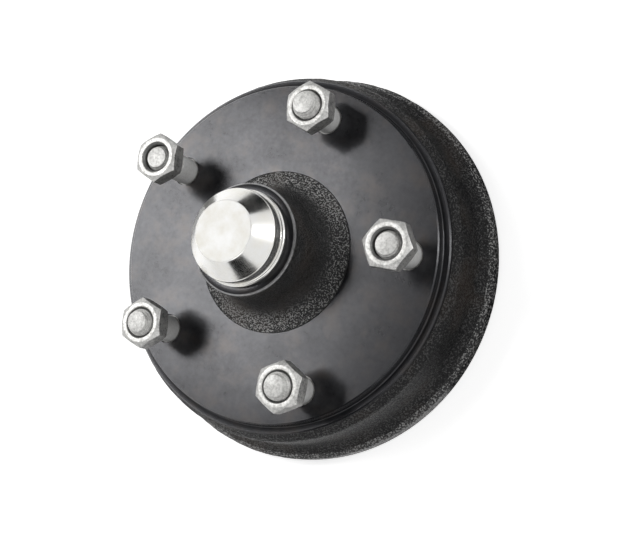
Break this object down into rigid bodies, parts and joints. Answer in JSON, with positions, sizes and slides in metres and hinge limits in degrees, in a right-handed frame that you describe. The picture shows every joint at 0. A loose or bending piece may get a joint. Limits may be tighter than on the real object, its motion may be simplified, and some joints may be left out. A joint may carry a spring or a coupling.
{
  "type": "trailer hub and brake drum",
  "caption": "One-piece cast hub and brake drum with pressed-in wheel studs, hex nuts run part way on, taper roller bearings, grease seal and a pressed grease cap on the nose.",
  "frame": {"origin": "on the hub's axis, in the plane of the open rim that the drum stands on", "axes": "+Z along the axis from the open rim towards the nose, +Y through the first stud"},
  "size_m": [0.2374, 0.2374, 0.1187],
  "materials": {
    "black_cast_iron": "satin black paint on machined and rough cast iron",
    "galvanised_steel": "dull galvanised",
    "bright_zinc": "bright zinc plate",
    "bearing_steel": "ground",
    "cage_steel": "pressed",
    "seal_case_steel": "matt",
    "seal_rubber": "matt"
  },
  "bodies": {
    "drum": {"drum_hub": "black_cast_iron", "wheel_stud_1": "galvanised_steel", "wheel_stud_2": "galvanised_steel", "wheel_stud_3": "galvanised_steel", "wheel_stud_4": "galvanised_steel", "wheel_stud_5": "galvanised_steel", "wheel_nut_1": "galvanised_steel", "wheel_nut_2": "galvanised_steel", "wheel_nut_3": "galvanised_steel", "wheel_nut_4": "galvanised_steel", "wheel_nut_5": "galvanised_steel", "grease_cap": "bright_zinc", "outer_bearing_cup": "bearing_steel", "inner_bearing_cup": "bearing_steel", "seal_case": "seal_case_steel", "seal_lip": "seal_rubber", "seal_spring": "cage_steel"},
    "outer_cone": {"outer_bearing_cone": "bearing_steel"},
    "outer_cage": {"outer_bearing_cage": "cage_steel", "outer_bearing_rollers": "bearing_steel"},
    "inner_cone": {"inner_bearing_cone": "bearing_steel"},
    "inner_cage": {"inner_bearing_cage": "cage_steel", "inner_bearing_rollers": "bearing_steel"}
  },
  "joints": [
    {"name": "outer_cone_spin", "type": "hinge", "parent": "drum", "child": "outer_cone", "pos_m": [0, 0, 0.07936], "axis": [0, 0, 1], "continuous": true},
    {"name": "outer_cage_spin", "type": "hinge", "parent": "drum", "child": "outer_cage", "pos_m": [0, 0, 0.07936], "axis": [0, 0, 1], "continuous": true},
    {"name": "inner_cone_spin", "type": "hinge", "parent": "drum", "child": "inner_cone", "pos_m": [0, 0, 0.03538], "axis": [0, 0, 1], "continuous": true},
    {"name": "inner_cage_spin", "type": "hinge", "parent": "drum", "child": "inner_cage", "pos_m": [0, 0, 0.03538], "axis": [0, 0, 1], "continuous": true}
  ],
  "couplings": [
    {"joint": "outer_cage_spin", "follows": "outer_cone_spin", "ratio": 0.4237},
    {"joint": "inner_cage_spin", "follows": "inner_cone_spin", "ratio": 0.4316}
  ]
}
